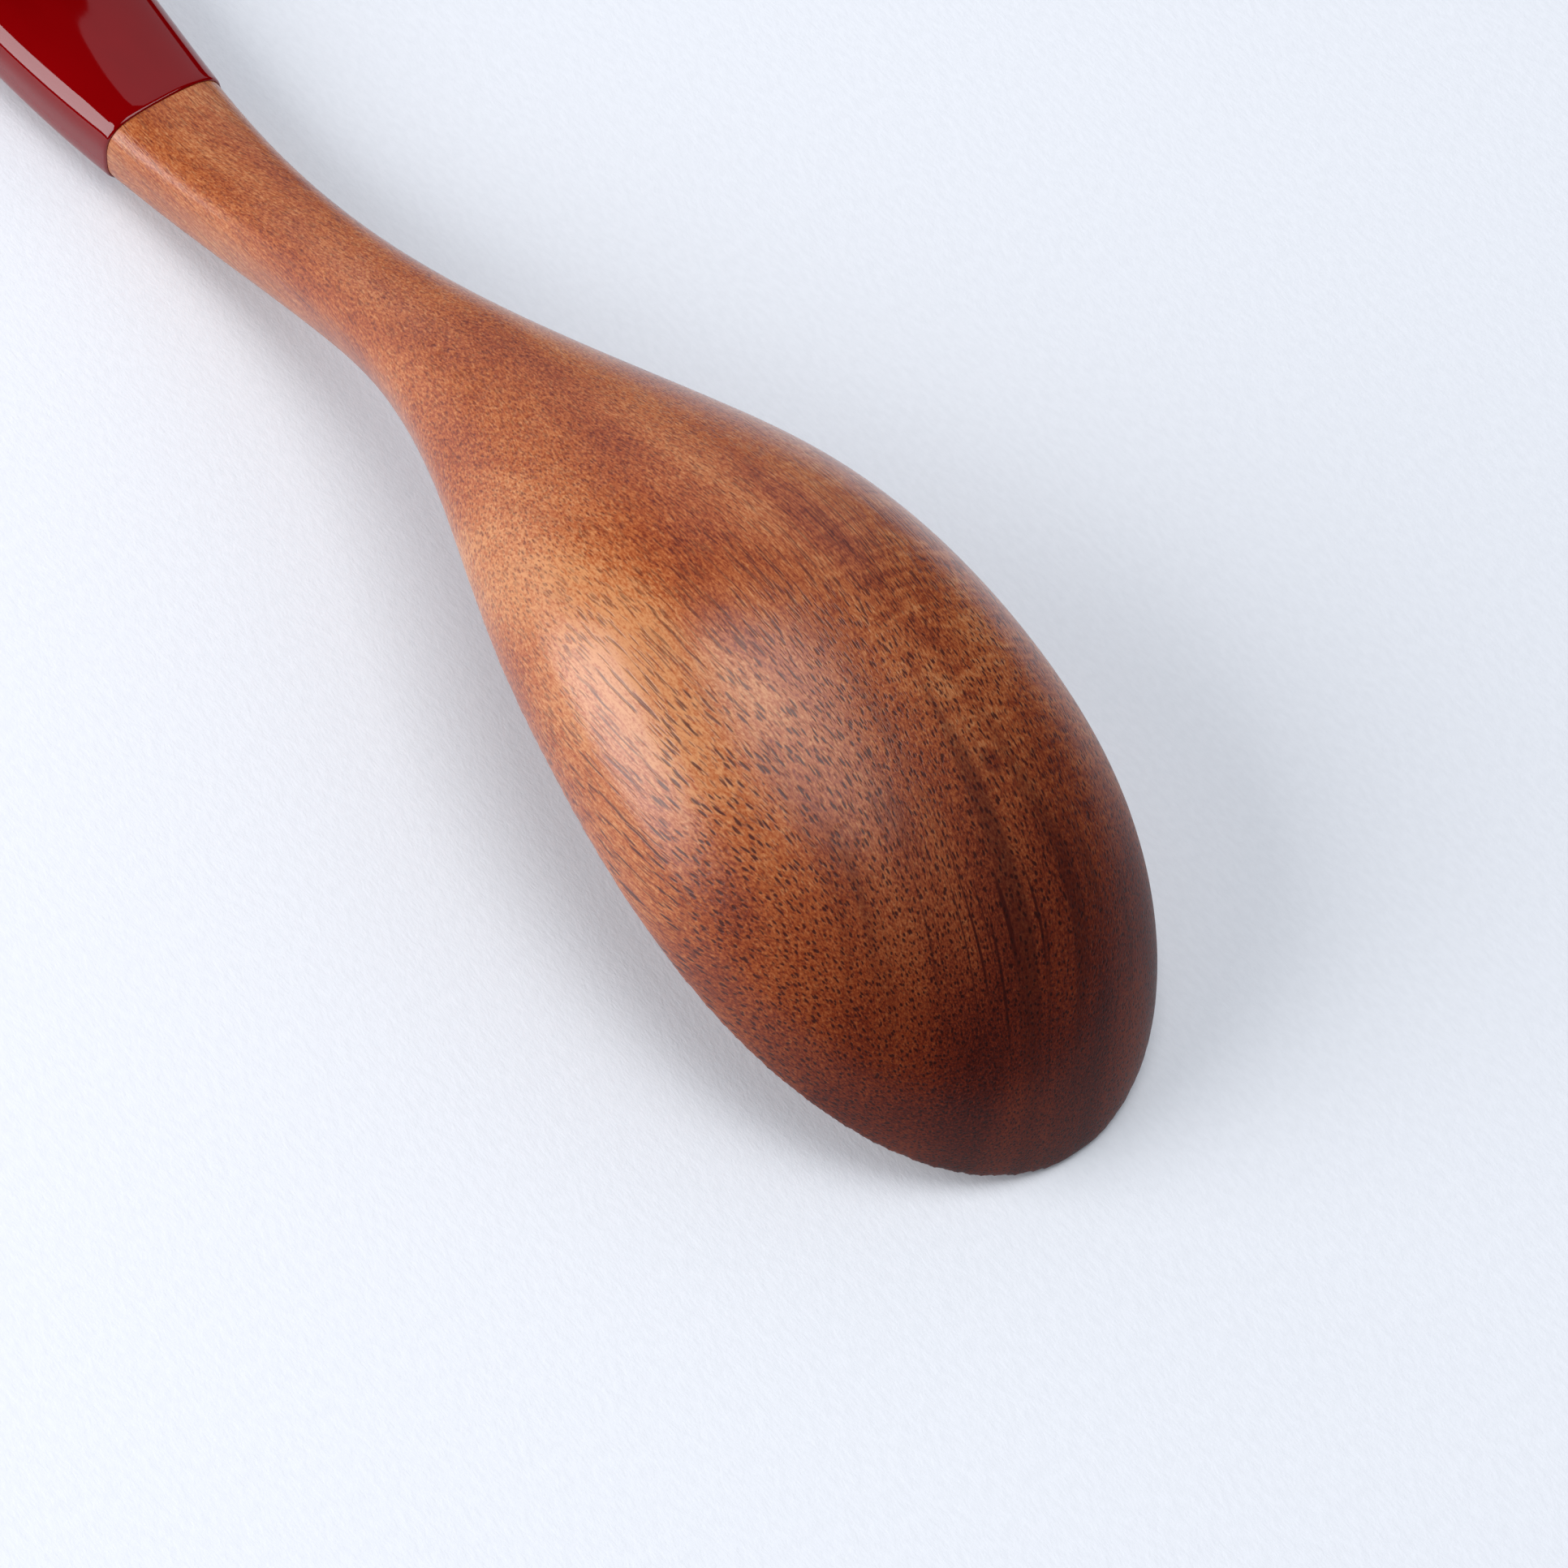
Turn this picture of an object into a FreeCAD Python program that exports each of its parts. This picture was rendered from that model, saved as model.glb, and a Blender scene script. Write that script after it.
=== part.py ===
import FreeCAD, Part
import math
import os

# A carved wooden eating spoon with a red lacquered handle, lying bowl down.
# Millimetres. X runs along the spoon from the bowl's tip to the handle's end,
# Y is across it, and Z is up from the surface that it lies on. The sub-parts
# are shaped with the bowl's tip at X = 0 and moved so that the origin is the
# middle of the footprint.

# ---- driving dimensions ----
overall_length = 200.0

# red coat on the outer part of the handle
coat_start = 129.5
coat_thickness = 0.2
wood_length = overall_length - coat_thickness

# plan outline: a round nose to the widest place, then half-widths along a smooth line;
# the rounding is the exponent that turns an outline round where it meets the middle line
widest_x = 31.0
bowl_half_width = 21.0
nose_fullness = 2.2
rounding = 2.0
plan_stations = [
    (widest_x, bowl_half_width),
    (45.0, 19.7),
    (60.0, 15.9),
    (75.0, 10.1),
    (88.0, 6.3),
    (102.0, 4.8),
    (125.0, 5.8),
    (150.0, 8.1),
    (wood_length, 7.4),
]
handle_end_round = 8.0

# height of the rim line and, past the neck, of the handle's middle line
midline_stations = [
    (0.0, 0.0),
    (17.0, 8.6),
    (34.0, 14.1),
    (50.0, 17.6),
    (66.0, 18.3),
    (80.0, 17.3),
    (100.0, 11.3),
    (120.0, 5.75),
    (150.0, 4.95),
    (wood_length, 16.8),
]

# back of the bowl above the rim line, running down into half the handle's thickness
deepest_x = 34.0
bowl_depth = 14.6
back_fullness = 3.0
back_stations = [
    (deepest_x, bowl_depth),
    (48.0, 13.2),
    (62.0, 9.4),
    (76.0, 5.6),
    (92.0, 4.2),
    (130.0, 4.0),
    (wood_length, 3.8),
]

# cross sections: exponent 2 is an ellipse, and a larger one is squarer
bowl_squareness = 2.15
handle_squareness = 3.3
squareness_change = (73.0, 117.0)

# under the bowl a section is cut off flat at the rim line, with a sharp edge at its sides;
# along this stretch of the neck the edge fades out and the underside swells to the handle's
underside_change = (56.0, 84.0)

# hollow of the bowl
rim_land = 2.3
hollow_start = 2.6
hollow_end = 65.5
hollow_depth = 11.4
hollow_squareness = 2.1
hollow_plan_end = 3.2
hollow_slope = (2.0, 1.6)

# the hollow's cutter is widest this far below the rim, so its steep walls cross the rim
cutter_lip = 0.6
cutter_depth = 5.0

# small flats that close the shape where it comes to a point
end_flat = 0.01

sections = 28
spans_across = 8
cubic = 3

# how far a section that leaves its sides along Y reaches inwards, as a share of its width
inward_reach = 0.5

# size of the block that keeps only the coated stretch of the handle
past_spoon = 4.0 * bowl_half_width


def superellipse(u, inner, outer):
    return max(0.0, 1.0 - (1.0 - u) ** inner) ** (1.0 / outer)


def step(x, change):
    start, stop = change
    u = min(1.0, max(0.0, (x - start) / (stop - start)))
    return u * u * u * (10.0 - 15.0 * u + 6.0 * u * u)


def smooth_line(stations, level_start=False):
    """A smooth line through stations, read back as its height at x."""
    points = [FreeCAD.Vector(x, value, 0) for x, value in stations]
    places = [x for x, value in stations]
    curve = Part.BSplineCurve()
    if level_start:
        last_run = points[-1] - points[-2]
        curve.interpolate(
            Points=points,
            Parameters=places,
            InitialTangent=FreeCAD.Vector(1, 0, 0),
            FinalTangent=last_run * (1.0 / last_run.x),
            Scale=False,
        )
    else:
        curve.interpolate(Points=points, Parameters=places)
    return lambda x: curve.value(x).y


plan_line = smooth_line(plan_stations, level_start=True)
midline = smooth_line(midline_stations)
back_line = smooth_line(back_stations, level_start=True)


def handle_end(x):
    into_round = max(0.0, (x - wood_length + handle_end_round) / handle_end_round)
    return math.sqrt(max(0.0, 1.0 - into_round ** 2))


def half_width(x):
    if x < widest_x:
        return bowl_half_width * superellipse(x / widest_x, nose_fullness, rounding)
    return plan_line(x) * handle_end(x)


def back_height(x):
    if x < deepest_x:
        return bowl_depth * superellipse(x / deepest_x, back_fullness, rounding)
    return back_line(x) * handle_end(x)


def underside_height(x):
    return step(x, underside_change) * back_height(x)


def between(first, second, share):
    return first + (second - first) * share


def half_section(x, centre, width, height, square, flat_share):
    """A curve from the +Y side to the -Y side of a section, over its top or its bottom.

    It leaves the sides upright, or along Y as far as flat_share says.
    """
    turn = math.pi / spans_across
    points = []
    for i in range(spans_across + 1):
        across = math.cos(turn * i)
        up = math.sin(turn * i)
        size = (abs(across) ** square + abs(up) ** square) ** (1.0 / square)
        points.append(FreeCAD.Vector(x, width * across / size, centre + height * up / size))
    inwards = inward_reach * flat_share * width * turn
    curve = Part.BSplineCurve()
    curve.interpolate(
        Points=points,
        Parameters=[float(i) for i in range(spans_across + 1)],
        InitialTangent=FreeCAD.Vector(0, -inwards, height * turn),
        FinalTangent=FreeCAD.Vector(0, -inwards, -height * turn),
        Scale=False,
    )
    return curve


def squareness(x):
    return between(bowl_squareness, handle_squareness, step(x, squareness_change))


def proud_place(x, proud):
    """Where the section at x lies on a spoon that is larger by proud on every side."""
    return x * (1.0 + proud / wood_length)


def spoon_back(x, proud):
    height = back_height(x) + proud
    return half_section(proud_place(x, proud), midline(x), half_width(x) + proud, height, squareness(x), 0.0)


def spoon_underside(x, proud):
    depth = -underside_height(x) - proud
    flat_share = 1.0 - step(x, underside_change)
    place = proud_place(x, proud)
    return half_section(place, midline(x), half_width(x) + proud, depth, squareness(x), flat_share)


def hollow_width(x):
    if x < widest_x:
        nose = (x - hollow_start) / (widest_x - hollow_start)
        return (bowl_half_width - rim_land) * superellipse(nose, nose_fullness, rounding)
    tail = (hollow_end - x) / (hollow_end - widest_x)
    return (plan_line(x) - rim_land) * superellipse(tail, hollow_plan_end, rounding)


def hollow_height(x):
    if x < deepest_x:
        front = (x - hollow_start) / (deepest_x - hollow_start)
        return hollow_depth * superellipse(front, back_fullness, rounding)
    back = (hollow_end - x) / (hollow_end - deepest_x)
    return hollow_depth * superellipse(back, *hollow_slope)


def cutter_over(x):
    height = hollow_height(x) + cutter_lip
    return half_section(x, midline(x) - cutter_lip, hollow_width(x), height, hollow_squareness, 0.0)


def cutter_under(x):
    depth = -cutter_depth * hollow_width(x) / bowl_half_width
    return half_section(x, midline(x) - cutter_lip, hollow_width(x), depth, hollow_squareness, 0.0)


def skin(places, half):
    """A smooth face through the half sections at places."""
    rows = [half(x) for x in places]
    columns = []
    for points in zip(*[row.getPoles() for row in rows]):
        column = Part.BSplineCurve()
        column.interpolate(Points=list(points), Parameters=[float(i) for i in range(len(places))])
        columns.append(column)
    surface = Part.BSplineSurface()
    surface.buildFromPolesMultsKnots(
        [list(row) for row in zip(*[column.getPoles() for column in columns])],
        columns[0].getMultiplicities(),
        rows[0].getMultiplicities(),
        columns[0].getKnots(),
        rows[0].getKnots(),
        False,
        False,
        cubic,
        cubic,
    )
    return surface.toShape()


def closed_solid(start, stop, over, under):
    """A solid between two places, with an over and an under face and a small flat at each end."""
    places = crowded_places(start, stop, sections)
    faces = [skin(places, over), skin(places, under)]
    for place in (places[0], places[-1]):
        outline = Part.Wire([over(place).toShape(), under(place).toShape()])
        faces.append(Part.Face(outline))
    shell = Part.makeShell(faces)
    shell.sewShape()
    return Part.Solid(shell)


def crowded_places(start, stop, count):
    """Places along X that crowd towards both ends, where the outline turns round."""
    middle = 0.5 * (start + stop)
    reach = 0.5 * (stop - start)
    return [middle - reach * math.cos(math.pi * i / count) for i in range(count + 1)]


def spoon_solid(proud):
    return closed_solid(
        end_flat,
        wood_length - end_flat,
        lambda x: spoon_back(x, proud),
        lambda x: spoon_underside(x, proud),
    )


def make_carved_spoon():
    hollow = closed_solid(hollow_start + end_flat, hollow_end - end_flat, cutter_over, cutter_under)
    return spoon_solid(0.0).cut(hollow)


def make_red_coat():
    beyond_start = Part.makeBox(
        overall_length,
        past_spoon,
        past_spoon,
        FreeCAD.Vector(coat_start, -0.5 * past_spoon, -0.5 * past_spoon),
    )
    return spoon_solid(coat_thickness).common(beyond_start).cut(spoon_solid(0.0))


def lowest(shapes):
    return min(shape.optimalBoundingBox().ZMin for shape in shapes)


nodes = {
    "carved_spoon": make_carved_spoon(),
    "red_handle_coat": make_red_coat(),
}
to_origin = FreeCAD.Vector(-0.5 * overall_length, 0, -lowest(nodes.values()))
os.makedirs("parts", exist_ok=True)
for name, shape in nodes.items():
    shape.translate(to_origin)
    shape.exportStep("parts/" + name + ".step")
    print(name, shape.isValid(), len(shape.Solids), round(shape.Volume, 1))
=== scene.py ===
import math

import bmesh
import bpy
import numpy as np
from mathutils import Matrix, Vector
from mathutils.bvhtree import BVHTree


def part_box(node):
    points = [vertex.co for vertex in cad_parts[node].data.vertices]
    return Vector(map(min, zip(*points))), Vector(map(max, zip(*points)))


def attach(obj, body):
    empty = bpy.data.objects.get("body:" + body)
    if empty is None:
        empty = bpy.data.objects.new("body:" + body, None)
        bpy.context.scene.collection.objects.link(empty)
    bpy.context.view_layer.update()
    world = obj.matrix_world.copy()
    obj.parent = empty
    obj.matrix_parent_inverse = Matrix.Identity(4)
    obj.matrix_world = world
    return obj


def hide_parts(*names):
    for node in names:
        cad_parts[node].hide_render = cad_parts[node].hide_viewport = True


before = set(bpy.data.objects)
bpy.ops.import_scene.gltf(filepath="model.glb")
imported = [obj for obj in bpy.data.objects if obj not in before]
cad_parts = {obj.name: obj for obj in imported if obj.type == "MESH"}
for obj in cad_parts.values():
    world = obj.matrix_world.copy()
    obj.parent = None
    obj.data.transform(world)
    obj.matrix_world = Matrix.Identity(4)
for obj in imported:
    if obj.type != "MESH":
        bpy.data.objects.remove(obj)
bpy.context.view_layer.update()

# Metres, in the frame of the CAD model: the spoon lies along X, bowl down, with the
# bowl's tip at the lowest X and the handle's end at the highest, on the surface at Z = 0.
MM = 0.001

wood_low, wood_high = (Vector(corner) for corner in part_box("carved_spoon"))
coat_low, coat_high = (Vector(corner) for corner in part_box("red_handle_coat"))
tip_x = wood_low.x
coat_start_x = coat_low.x
coat_thickness = coat_high.x - wood_high.x


def linked_object(name, mesh):
    piece = bpy.data.objects.new(name, mesh)
    bpy.context.scene.collection.objects.link(piece)
    return piece


# ---- mesh of the carved wood ----
# Sanding repeats a small step, a share of the way to the neighbours' middle.
skin_cell = 0.26 * MM
sanding_rounds = 12
sanding_share = 0.5
join_distance = 0.002 * MM


def joined_copy(node, name):
    """A copy of a CAD node with the vertices along its face borders joined."""
    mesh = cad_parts[node].data.copy()
    work = bmesh.new()
    work.from_mesh(mesh)
    bmesh.ops.remove_doubles(work, verts=work.verts, dist=join_distance)
    work.to_mesh(mesh)
    work.free()
    return linked_object(name, mesh)


def with_modifiers_applied(piece):
    """Replaces a piece's mesh with the result of its modifiers."""
    shown = piece.evaluated_get(bpy.context.evaluated_depsgraph_get())
    mesh = bpy.data.meshes.new_from_object(shown)
    piece.modifiers.clear()
    piece.data = mesh


def vertex_places(mesh):
    places = np.empty(len(mesh.vertices) * 3)
    mesh.vertices.foreach_get("co", places)
    return places.reshape(-1, 3)


def lay_on(mesh, node):
    """Moves each vertex to the nearest point of a CAD node's surface."""
    surface = BVHTree.FromObject(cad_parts[node], bpy.context.evaluated_depsgraph_get())
    for vertex in mesh.vertices:
        vertex.co = surface.find_nearest(vertex.co)[0]


def sand(mesh):
    """Eases sharp edges: each round moves every vertex towards the middle of its neighbours."""
    places = vertex_places(mesh)
    ends = np.empty(len(mesh.edges) * 2, dtype=np.int32)
    mesh.edges.foreach_get("vertices", ends)
    first, second = ends.reshape(-1, 2).T
    neighbours = np.bincount(ends, minlength=len(places))
    for _ in range(sanding_rounds):
        for axis in range(3):
            value = places[:, axis]
            total = np.bincount(first, value[second], len(value))
            total += np.bincount(second, value[first], len(value))
            places[:, axis] += sanding_share * (total / neighbours - value)
    mesh.vertices.foreach_set("co", places.ravel())
    mesh.update()


def make_wood_skin():
    """The wood in small even quads, with its edges eased as sanding leaves them."""
    piece = joined_copy("carved_spoon", "carved_wood")
    remesh = piece.modifiers.new("even_quads", "REMESH")
    remesh.mode = "VOXEL"
    remesh.voxel_size = skin_cell
    remesh.use_smooth_shade = True
    with_modifiers_applied(piece)
    lay_on(piece.data, "carved_spoon")
    sand(piece.data)
    return piece


wood = make_wood_skin()

# ---- mesh of the red coat ----
# The squareness and the end's rounding are those of the CAD handle. The front lip turns through a
# quarter circle in degrees.
handle_squareness = 3.3
end_round = 8.0 * MM
lip_length = 0.4 * MM
lip_turns = (0, 22, 45, 67, 90)
coat_rings = 150
coat_points = 128
fit_degree = 5
fit_places = 40
past_spoon = 0.1


def end_rounding(x):
    """The handle's size at x as a share of its full size, which falls to 0 at its rounded end."""
    into_round = max(0.0, 1.0 - (coat_high.x - x) / end_round)
    return math.sqrt(max(0.0, 1.0 - into_round ** 2))


def handle_curves():
    """The CAD coat's middle height, half width and half thickness as smooth curves along X."""
    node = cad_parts["red_handle_coat"]
    surface = BVHTree.FromObject(node, bpy.context.evaluated_depsgraph_get())
    places = np.linspace(coat_start_x + MM, coat_high.x - MM, fit_places)
    rows = []
    for x in places:
        top = surface.ray_cast(Vector((x, 0, past_spoon)), Vector((0, 0, -1)))[0].z
        bottom = surface.ray_cast(Vector((x, 0, -past_spoon)), Vector((0, 0, 1)))[0].z
        middle = 0.5 * (top + bottom)
        side = surface.ray_cast(Vector((x, past_spoon, middle)), Vector((0, -1, 0)))[0].y
        rows.append((middle, side / end_rounding(x), 0.5 * (top - bottom) / end_rounding(x)))
    return [np.polynomial.Polynomial.fit(places, values, fit_degree) for values in zip(*rows)]


def coat_ring(curves, x, inset):
    """A closed ring of points round the handle, inset from the coat's outside."""
    middle, width, height = (curve(x) for curve in curves)
    across_size = width * end_rounding(x) - inset
    up_size = height * end_rounding(x) - inset
    ring = []
    for i in range(coat_points):
        angle = 2.0 * math.pi * i / coat_points
        across, up = math.cos(angle), math.sin(angle)
        reach = abs(across) ** handle_squareness + abs(up) ** handle_squareness
        size = reach ** (1.0 / handle_squareness)
        ring.append((x, across_size * across / size, middle + up_size * up / size))
    return ring


def ring_share(i):
    """Rings crowd together towards the handle's rounded end."""
    return math.sin(0.5 * math.pi * i / (coat_rings + 1))


def make_coat_rings():
    """From the inside of the handle's end back to the lip, round it, and out over the outside."""
    curves = handle_curves()
    inner_end = coat_high.x - coat_thickness
    lip_end = coat_start_x + lip_length
    rings = []
    for i in range(coat_rings, 0, -1):
        x = lip_end + (inner_end - lip_end) * ring_share(i)
        rings.append(coat_ring(curves, x, coat_thickness))
    for degrees in lip_turns:
        left = 1.0 - math.sin(math.radians(degrees))
        forward = 1.0 - math.cos(math.radians(degrees))
        rings.append(coat_ring(curves, coat_start_x + lip_length * forward, coat_thickness * left))
    for i in range(1, coat_rings + 1):
        rings.append(coat_ring(curves, lip_end + (coat_high.x - lip_end) * ring_share(i), 0.0))
    return rings


def make_shell(rings, name):
    """A closed mesh over rings of points, with a fan of triangles at each end."""
    points = [point for ring in rings for point in ring]
    faces = []
    for r in range(len(rings) - 1):
        start, after = r * coat_points, (r + 1) * coat_points
        for i in range(coat_points):
            j = (i + 1) % coat_points
            faces.append((start + i, after + i, after + j, start + j))
    last_start = len(points) - coat_points
    for start in (0, last_start):
        ring = points[start:start + coat_points]
        points.append(tuple(sum(values) / coat_points for values in zip(*ring)))
        for i in range(coat_points):
            j = (i + 1) % coat_points
            faces.append((start + i, start + j, len(points) - 1))
    mesh = bpy.data.meshes.new(name)
    mesh.from_pydata(points, [], faces)
    work = bmesh.new()
    work.from_mesh(mesh)
    bmesh.ops.recalc_face_normals(work, faces=work.faces)
    work.to_mesh(mesh)
    work.free()
    for face in mesh.polygons:
        face.use_smooth = True
    return linked_object(name, mesh)


coat = make_shell(make_coat_rings(), "red_coat")

# ---- floor ----
floor_half = 1.5


def make_floor():
    mesh = bpy.data.meshes.new("paper")
    corners = [(-floor_half, -floor_half, 0), (floor_half, -floor_half, 0),
               (floor_half, floor_half, 0), (-floor_half, floor_half, 0)]
    mesh.from_pydata(corners, [], [(0, 1, 2, 3)])
    return linked_object("paper", mesh)


floor = make_floor()

# ---- camera ----
# It looks along this azimuth, and down by this elevation, at a point under the bowl.
# The roll is to its right, and the lens and sensor are in millimetres.
camera_elevation = math.radians(55.879)
camera_azimuth = math.radians(-43.261)
camera_roll = math.radians(5.939)
camera_distance = 479.83 * MM
camera_lens = 129.78
camera_sensor = 36.0
camera_near_limit = 10 * MM
aim_from_tip = 42.774 * MM
aim = Vector((tip_x + aim_from_tip, -3.17 * MM, 0.02 * MM))


def direction(azimuth, elevation):
    """A unit vector, with its azimuth counted from X towards Y and its elevation up from level."""
    flat = math.cos(elevation)
    return Vector((flat * math.cos(azimuth), flat * math.sin(azimuth), math.sin(elevation)))


def make_camera():
    forward = direction(camera_azimuth, -camera_elevation)
    level_right = forward.cross(Vector((0, 0, 1))).normalized()
    level_up = level_right.cross(forward)
    right = level_right * math.cos(camera_roll) + level_up * math.sin(camera_roll)
    up = level_up * math.cos(camera_roll) - level_right * math.sin(camera_roll)
    turn = Matrix((right, up, -forward)).transposed()
    data = bpy.data.cameras.new("camera")
    data.lens = camera_lens
    data.sensor_width = camera_sensor
    data.clip_start = camera_near_limit
    camera = linked_object("camera", data)
    camera.matrix_world = Matrix.Translation(aim - forward * camera_distance) @ turn.to_4x4()
    bpy.context.scene.camera = camera


make_camera()


# ---- material building ----
class Nodes:
    """Short calls for building one material's node tree."""

    def __init__(self, name):
        self.material = bpy.data.materials.new(name)
        self.material.use_nodes = True
        self.tree = self.material.node_tree
        self.shader = self.tree.nodes["Principled BSDF"]

    def add(self, kind, inputs, **settings):
        made = self.tree.nodes.new(kind)
        for key, value in settings.items():
            setattr(made, key, value)
        for key, value in inputs.items():
            self.feed(made.inputs[key], value)
        return made

    def feed(self, socket, value):
        if isinstance(value, bpy.types.NodeSocket):
            self.tree.links.new(value, socket)
        else:
            socket.default_value = value

    def set(self, **inputs):
        for key, value in inputs.items():
            self.feed(self.shader.inputs[key.replace("_", " ")], value)

    def place(self):
        return self.add("ShaderNodeTexCoord", {}).outputs["Object"]

    def parts(self, vector):
        return self.add("ShaderNodeSeparateXYZ", {0: vector}).outputs

    def flat(self, x, y):
        """A vector with no height."""
        return self.add("ShaderNodeCombineXYZ", {"X": x, "Y": y}).outputs[0]

    def vector(self, operation, first, second, output=0):
        made = self.add("ShaderNodeVectorMath", {0: first, 1: second}, operation=operation)
        return made.outputs[output]

    def math(self, operation, first, second):
        return self.add("ShaderNodeMath", {0: first, 1: second}, operation=operation).outputs[0]

    def total(self, values):
        made = values[0]
        for value in values[1:]:
            made = self.math("ADD", made, value)
        return made

    def about_half(self, value, amount):
        """A 0..1 value turned into plus or minus half the amount."""
        return self.math("MULTIPLY", self.math("SUBTRACT", value, 0.5), amount)

    def in_cells(self, vector, along, across):
        """A place in noise cells of these sizes in millimetres, along and across the grain."""
        per_metre = tuple(1.0 / (size * MM) for size in (along, across, across))
        return self.vector("MULTIPLY", vector, per_metre)

    def noise(self, vector, detail=2.0, roughness=0.5, output="Fac"):
        inputs = {"Vector": vector, "Scale": 1.0, "Detail": detail, "Roughness": roughness}
        return self.add("ShaderNodeTexNoise", inputs).outputs[output]

    def shove(self, vector, reach):
        """A smooth sideways push of up to half the reach either way on each axis."""
        push = self.noise(vector, detail=1.0, output="Color")
        return self.vector("MULTIPLY", self.vector("SUBTRACT", push, (0.5, 0.5, 0.5)), reach)

    def points(self, vector):
        """Distance to the nearest of a field of scattered points in the XY plane of the vector."""
        made = self.add("ShaderNodeTexVoronoi", {"Vector": vector, "Scale": 1.0}, voronoi_dimensions="2D")
        return made.outputs["Distance"]

    def span(self, value, low, high, to_low=0.0, to_high=1.0):
        """Maps low..high onto to_low..to_high with a smooth, clamped ramp."""
        inputs = {"Value": value, "From Min": low, "From Max": high, "To Min": to_low, "To Max": to_high}
        return self.add("ShaderNodeMapRange", inputs, interpolation_type="SMOOTHSTEP").outputs["Result"]

    def mix(self, share, first, second, blend="MIX"):
        made = self.add("ShaderNodeMix", {}, data_type="RGBA", blend_type=blend)
        self.feed(made.inputs[0], share)
        self.feed(made.inputs[6], first)
        self.feed(made.inputs[7], second)
        return made.outputs[2]

    def ramp(self, value, stops):
        made = self.add("ShaderNodeValToRGB", {"Fac": value})
        points = made.color_ramp.elements
        while len(points) < len(stops):
            points.new(0.5)
        for point, (place, colour) in zip(points, stops):
            point.position = place
            point.color = colour
        return made.outputs["Color"]

    def bump(self, height, distance, strength, normal=None):
        inputs = {"Height": height, "Distance": distance, "Strength": strength}
        if normal is not None:
            inputs["Normal"] = normal
        return self.add("ShaderNodeBump", inputs).outputs["Normal"]


# ---- wood ----
# Colours run from dark late wood to pale gold. The tone says how far along that run a place is.
wood_dark = (0.085, 0.0095, 0.0028, 1)
wood_red = (0.245, 0.040, 0.0075, 1)
wood_middle = (0.385, 0.096, 0.021, 1)
# the pale gold is whitened a little in green and blue as a painted highlight
wood_gold_with_highlight_tint = (0.54, 0.225, 0.082, 1)
tone_stops = [(0.0, wood_dark), (0.30, wood_red), (0.56, wood_middle), (0.95, wood_gold_with_highlight_tint)]
vessel_colour = (0.050, 0.0075, 0.0045, 1)
knot_colour = (0.07, 0.006, 0.005, 1)
# tint that darkens the tip: partly darker wood, partly painted shade
tip_dark_and_shade_tint = (0.36, 0.19, 0.11, 1)
untinted = (1, 1, 1, 1)

# tone of plain wood, and how far each pattern swings it from its lowest to its highest
plain_tone = 0.53
broad_layer_swing = 0.75
patch_swing = 0.50
fibre_swing = 0.75
speckle_swing = 1.25
figure_swing = 0.90

# places on the spoon and their reach, in millimetres: from the bowl's tip, across, and up
# gold: paler wood with a painted sheen on the flank that faces the key light
gold_and_sheen_place = ((52, 11, 23), (27, 14, 16))
# pale flank: a painted highlight on the bare handle's side that faces the key light, partly paler wood
pale_flank_highlight_place = ((121, 7, 9), (26, 6, 9))
# painted shade on the bowl just above its rim on the +Y side
rim_painted_shade_place = ((56, 19, 18), (24, 6, 7))
figured_place = ((38, -14, 18), (34, 22, 24))
thin_late_place = ((14, -1, 16), (26, 13, 20))
broad_late_place = ((17, 0, 18), (28, 19, 24))
knot_place = ((22.7, -6.7, 24.3), (1.5, 1.1, 2.0))
zone_core = 0.25

# what such a place adds to the tone
gold_and_sheen_lift = 0.16
pale_flank_highlight_lift = 0.24
rim_painted_shade_lift = -0.30

# changes along the spoon: two distances from the bowl's tip in millimetres, and the values there
# the tone falls towards the bowl's tip: partly darker wood, partly painted shade on the end that faces
# away from the lights
tip_dark_and_shade_lift = (6, 32, -0.26, 0.0)
# where the tip's darker tint with its painted shade fades out
tip_dark_and_shade_clears = (3, 37)
fine_vessels_fade = (62, 100, 0.55, 0.25)
large_vessels_fade = (28, 58, 0.92, 0.30)
clear_coat_rise = (10, 42, 0.2, 1.0)

# growth layers: their upright across the spoon, and how much they are stretched along it; then noise
# cells to the millimetre along and across them, and the range of noise that is dark late wood
layer_upright = (0.0, 0.93, 0.36)
layer_stretch = 0.055
broad_layer_cells = (0.9, 0.22, 1.0)
thin_late_cells = (1.1, 1.7, 1.0)
broad_late_cells = (0.5, 0.34, 1.0)
thin_late_range = (0.61, 0.71)
broad_late_range = (0.50, 0.66)
thin_late_everywhere = 0.12
thin_late_strength = 0.85
broad_late_strength = 0.62

# vessels: spacing in millimetres, where their dark core ends and where they end as shares of the
# spacing, and millimetres between breaks; they sway from side to side by a share of the spacing
large_vessels = (0.46, 0.15, 0.29, 3.6)
fine_vessels = (0.29, 0.12, 0.32, 2.4)
vessel_sway = 0.9
vessel_break_range = (0.36, 0.48)

# border between the heartwood over the keel and the paler wood beside it: millimetres sideways for each
# one along, how far it waves, and the strips beside it that are brown and pale, in millimetres
border_slope = 0.17
border_wave = 5.0
brown_strip = (-26.0, -1.0)
pale_strip = (-1.2, 1.8)
brown_lift = -0.11
pale_lift = 0.14
border_starts = (27, 40)
border_stops = (70, 98, 1.0, 0.0)

# relief: vessels dip and fibre rises, under a clear coat that evens them out, on hand-carved waves
vessel_rise = -0.9
fibre_rise = 0.45
wood_relief = (0.03 * MM, 0.6)
clear_coat_relief = (0.016 * MM, 0.5)
carving_relief = (0.25 * MM, 0.30)

grain_drift = 9 * MM


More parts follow.
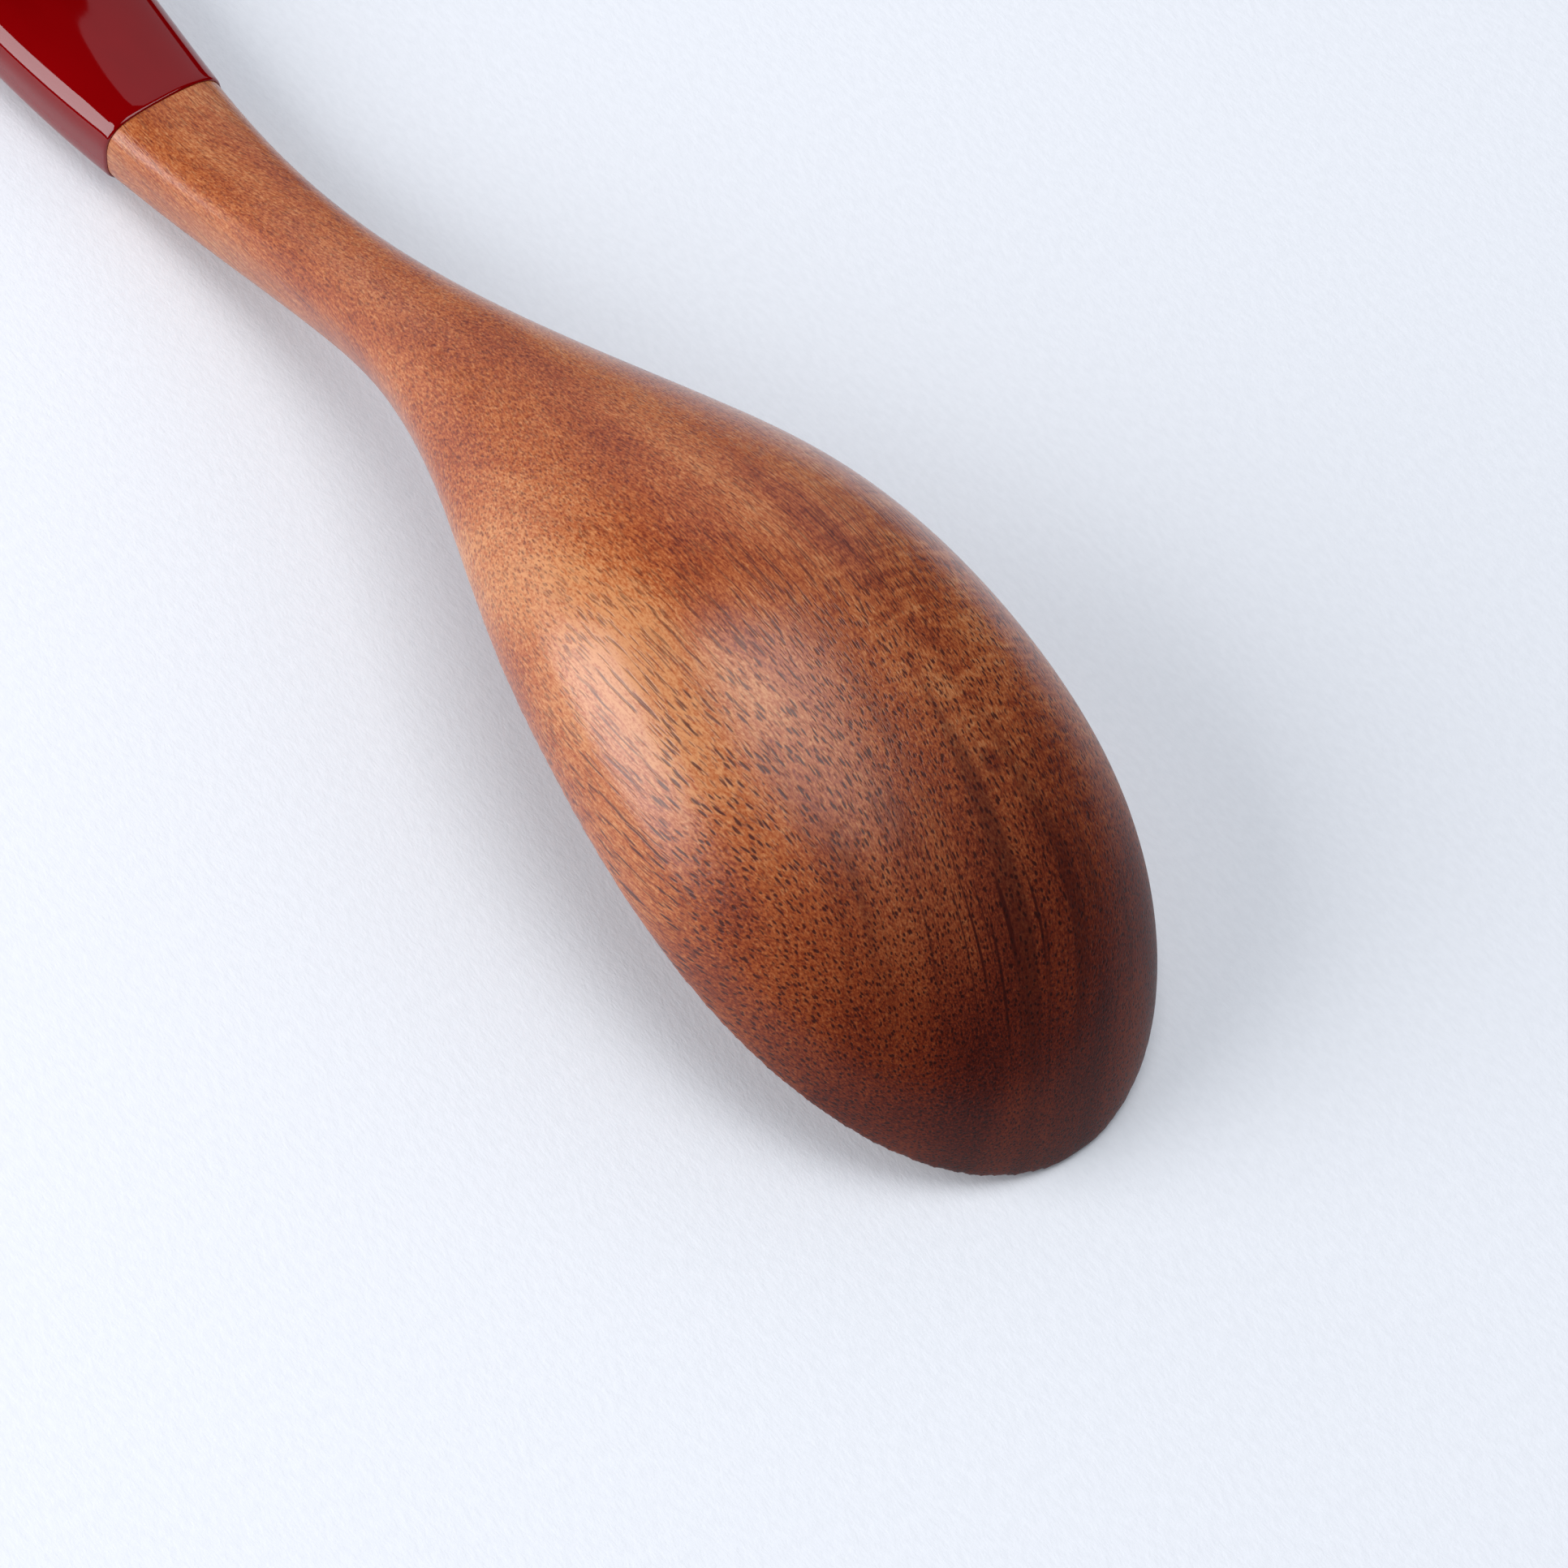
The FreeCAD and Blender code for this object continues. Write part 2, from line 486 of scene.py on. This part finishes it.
def zone(w, place, centre, reach):
    """1 in the middle of a place on the spoon, falling smoothly to 0 at its reach."""
    middle = (tip_x + centre[0] * MM, centre[1] * MM, centre[2] * MM)
    per_metre = tuple(1.0 / (size * MM) for size in reach)
    away = w.vector("MULTIPLY", w.vector("SUBTRACT", place, middle), per_metre)
    return w.span(w.vector("LENGTH", away, (0, 0, 0), output="Value"), zone_core, 1.0, 1.0, 0.0)


def growth_layers(w, grain):
    """A place in millimetres along and across the growth layers, which stand nearly upright."""
    depth = w.vector("DOT_PRODUCT", grain, layer_upright, output="Value")
    along = w.math("MULTIPLY", w.parts(grain)["X"], layer_stretch)
    return w.in_cells(w.flat(along, depth), 1.0, 1.0)


def vessels(w, grain, spacing, core, edge, unbroken):
    """Long thin tubes along the grain, which the carved surface cuts into streaks, dashes and dots."""
    parts = w.parts(grain)
    across = w.in_cells(w.flat(parts["Y"], parts["Z"]), spacing, spacing)
    sway = w.shove(w.in_cells(grain, 3.2, 1.1), (vessel_sway, vessel_sway, 0.0))
    tube = w.span(w.points(w.vector("ADD", across, sway)), core, edge, 1.0, 0.0)
    breaks = w.noise(w.in_cells(grain, unbroken, 0.42), detail=1.0)
    return w.math("MULTIPLY", tube, w.span(breaks, *vessel_break_range))


def heartwood_edge(w, grain, from_tip):
    """What brown heartwood and paler wood add to the tone beside the wavy border between them."""
    wavy = w.noise(w.in_cells(grain, 6, 3))
    border = w.math("ADD", w.math("MULTIPLY", from_tip, border_slope), w.about_half(wavy, border_wave))
    over = w.math("SUBTRACT", w.math("DIVIDE", w.parts(grain)["Y"], MM), border)
    pale = w.span(over, *pale_strip)
    brown = w.math("MULTIPLY", w.span(over, *brown_strip), w.math("SUBTRACT", 1.0, pale))
    lift = w.math("ADD", w.math("MULTIPLY", pale, pale_lift), w.math("MULTIPLY", brown, brown_lift))
    ends = w.math("MULTIPLY", w.span(from_tip, *border_starts), w.span(from_tip, *border_stops))
    return w.math("MULTIPLY", lift, ends)


def late_wood(w, layers, place, colour):
    """Lays thin and broad dark layers over the colour, mostly towards the bowl's tip."""
    thin = w.span(w.noise(w.vector("MULTIPLY", layers, thin_late_cells), detail=1.0), *thin_late_range)
    near_tip = w.math("MULTIPLY", zone(w, place, *thin_late_place), thin_late_strength)
    thin_share = w.math("ADD", thin_late_everywhere, near_tip)
    colour = w.mix(w.math("MULTIPLY", thin, thin_share), colour, wood_dark)
    broad = w.noise(w.vector("MULTIPLY", layers, broad_late_cells), roughness=0.6)
    broad_share = w.math("MULTIPLY", zone(w, place, *broad_late_place), broad_late_strength)
    return w.mix(w.math("MULTIPLY", w.span(broad, *broad_late_range), broad_share), colour, wood_dark)


def make_wood_material():
    w = Nodes("carved_wood")
    place = w.place()
    from_tip = w.math("DIVIDE", w.math("SUBTRACT", w.parts(place)["X"], tip_x), MM)

    # the grain runs along X and wanders a little from side to side
    drift = w.shove(w.in_cells(place, 55, 26), (0.0, grain_drift, grain_drift))
    grain = w.vector("ADD", place, drift)
    layers = growth_layers(w, grain)

    # patterns, from broad to fine, and the faint cross figure that light shows in the end grain
    broad_layer = w.noise(w.vector("MULTIPLY", layers, broad_layer_cells))
    patch = w.noise(w.in_cells(grain, 24, 8))
    fibre = w.noise(w.in_cells(grain, 3.4, 0.22), roughness=0.6)
    speckle = w.noise(w.in_cells(grain, 0.42, 0.17), roughness=0.65)
    figure = w.noise(w.in_cells(place, 0.6, 3.5))

    tone = w.total([
        plain_tone,
        w.about_half(broad_layer, broad_layer_swing),
        w.about_half(patch, patch_swing),
        w.about_half(fibre, fibre_swing),
        w.about_half(speckle, speckle_swing),
        w.math("MULTIPLY", zone(w, place, *figured_place), w.about_half(figure, figure_swing)),
        # paler wood and a painted sheen on the lit flank
        w.math("MULTIPLY", zone(w, grain, *gold_and_sheen_place), gold_and_sheen_lift),
        # painted highlight on the bare handle's lit side, partly paler wood
        w.math("MULTIPLY", zone(w, place, *pale_flank_highlight_place), pale_flank_highlight_lift),
        # painted shade above the rim
        w.math("MULTIPLY", zone(w, place, *rim_painted_shade_place), rim_painted_shade_lift),
        heartwood_edge(w, grain, from_tip),
        # darker towards the tip: partly darker wood, partly painted shade
        w.span(from_tip, *tip_dark_and_shade_lift),
    ])
    colour = late_wood(w, layers, place, w.ramp(tone, tone_stops))

    # a small dark red knot beside the keel
    knot = w.math("MULTIPLY", zone(w, place, *knot_place), w.span(speckle, 0.35, 0.6))
    colour = w.mix(knot, colour, knot_colour)

    large = vessels(w, grain, *large_vessels)
    fine = vessels(w, grain, *fine_vessels)
    colour = w.mix(w.math("MULTIPLY", fine, w.span(from_tip, *fine_vessels_fade)), colour, wood_dark)
    colour = w.mix(w.math("MULTIPLY", large, w.span(from_tip, *large_vessels_fade)), colour, vessel_colour)
    # the colour is multiplied darker near the tip: partly darker wood, partly painted shade
    tip_dark_and_shade_factor = w.mix(w.span(from_tip, *tip_dark_and_shade_clears), tip_dark_and_shade_tint, untinted)
    colour = w.mix(1.0, colour, tip_dark_and_shade_factor, blend="MULTIPLY")

    sunk = w.math("MULTIPLY", w.math("MAXIMUM", large, fine), vessel_rise)
    height = w.math("ADD", sunk, w.math("MULTIPLY", fibre, fibre_rise))
    carved = w.bump(w.noise(w.in_cells(place, 10, 7), detail=1.0), *carving_relief)
    w.set(Base_Color=colour, Roughness=w.span(fibre, 0.3, 0.7, 0.44, 0.56), Specular_IOR_Level=0.12)
    w.set(Normal=w.bump(height, *wood_relief, carved))
    w.set(Coat_Weight=w.span(from_tip, *clear_coat_rise), Coat_Roughness=0.27, Coat_IOR=1.5)
    w.set(Coat_Normal=w.bump(height, *clear_coat_relief, carved))
    return w.material


# ---- red lacquer ----
lacquer_deep = (0.155, 0.0002, 0.0007, 1)
lacquer_bright = (0.185, 0.0004, 0.0012, 1)
cloud_range = (0.3, 0.7)
flow_relief = (0.10 * MM, 0.25)
handling_relief = (0.0015 * MM, 0.25)


def make_lacquer_material():
    """Clouded red under a clear gloss that has flowed a little unevenly and is faintly worn by hands."""
    r = Nodes("red_lacquer")
    place = r.place()
    cloud = r.noise(r.in_cells(place, 18, 8), detail=3.0)
    colour = r.mix(r.span(cloud, *cloud_range), lacquer_deep, lacquer_bright)
    flowed = r.bump(r.noise(r.in_cells(place, 14, 6), detail=1.0), *flow_relief)
    handling = r.noise(r.in_cells(place, 3.5, 0.5), detail=4.0, roughness=0.65)
    r.set(Base_Color=colour, Roughness=r.span(cloud, *cloud_range, 0.30, 0.40), Normal=flowed)
    r.set(Specular_IOR_Level=0.0, Coat_Weight=1.0, Coat_Roughness=0.04, Coat_IOR=1.5)
    r.set(Coat_Normal=r.bump(handling, *handling_relief, flowed))
    return r.material


# ---- paper ----
paper_grey = (0.735, 0.75, 0.77, 1)
paper_white = (0.765, 0.78, 0.80, 1)
paper_relief = (0.10 * MM, 0.40)
tooth_rise = 0.4


def make_paper_material():
    p = Nodes("paper")
    place = p.place()
    pulp = p.noise(p.in_cells(place, 1.3, 0.55), detail=4.0, roughness=0.6)
    tooth = p.noise(p.in_cells(place, 0.35, 0.2))
    height = p.math("ADD", pulp, p.math("MULTIPLY", tooth, tooth_rise))
    p.set(Base_Color=p.mix(p.span(pulp, 0.3, 0.7), paper_grey, paper_white))
    p.set(Roughness=0.85, Specular_IOR_Level=0.1, Normal=p.bump(height, *paper_relief))
    return p.material


def dress(piece, material):
    piece.data.materials.clear()
    piece.data.materials.append(material)


dress(wood, make_wood_material())
dress(coat, make_lacquer_material())
dress(floor, make_paper_material())

# ---- light ----
# Each softbox: azimuth and elevation in degrees, width and height in metres, radiance, and colour.
softboxes = {
    "key": ((64, 28), (0.74, 0.68), 5.7, (0.97, 0.965, 1.0)),
    "back": ((-47, 32), (0.75, 0.62), 0.55, (0.90, 0.88, 1.0)),
    "wall": ((8, 15), (1.0, 0.42), 1.1, (0.92, 0.94, 1.0)),
    "top": ((-120, 86), (0.60, 0.54), 3.8, (0.97, 0.97, 1.0)),
}
fill = ((-135, 48), (2.2, 1.5), 0.42, (0.82, 0.91, 1.0))
softbox_distance = 0.95
fill_distance = 1.3
room_colour = (0.80, 0.88, 1.0, 1)
room_radiance = 0.30


def soft_light(name, distance, angles, size, radiance, colour):
    """A rectangular softbox that faces the point that the camera looks at."""
    way = direction(*(math.radians(angle) for angle in angles))
    data = bpy.data.lights.new(name, "AREA")
    data.shape = "RECTANGLE"
    data.size, data.size_y = size
    data.energy = radiance * math.pi * size[0] * size[1]
    data.color = colour
    light = linked_object(name, data)
    light.visible_camera = False
    light.location = aim + way * distance
    light.rotation_mode = "QUATERNION"
    light.rotation_quaternion = way.to_track_quat("Z", "Y")
    return light


def make_room():
    """An even pale light from all round that doesn't show in reflections."""
    world = bpy.data.worlds.new("room")
    world.use_nodes = True
    background = world.node_tree.nodes["Background"]
    background.inputs["Color"].default_value = room_colour
    background.inputs["Strength"].default_value = room_radiance
    world.cycles_visibility.glossy = False
    bpy.context.scene.world = world


for name, settings in softboxes.items():
    soft_light(name, softbox_distance, *settings)
soft_light("fill", fill_distance, *fill).visible_glossy = False
make_room()
bpy.context.scene.view_settings.view_transform = "Standard"

# ---- frame ----
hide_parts("carved_spoon")
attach(wood, "root")
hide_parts("red_handle_coat")
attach(coat, "root")
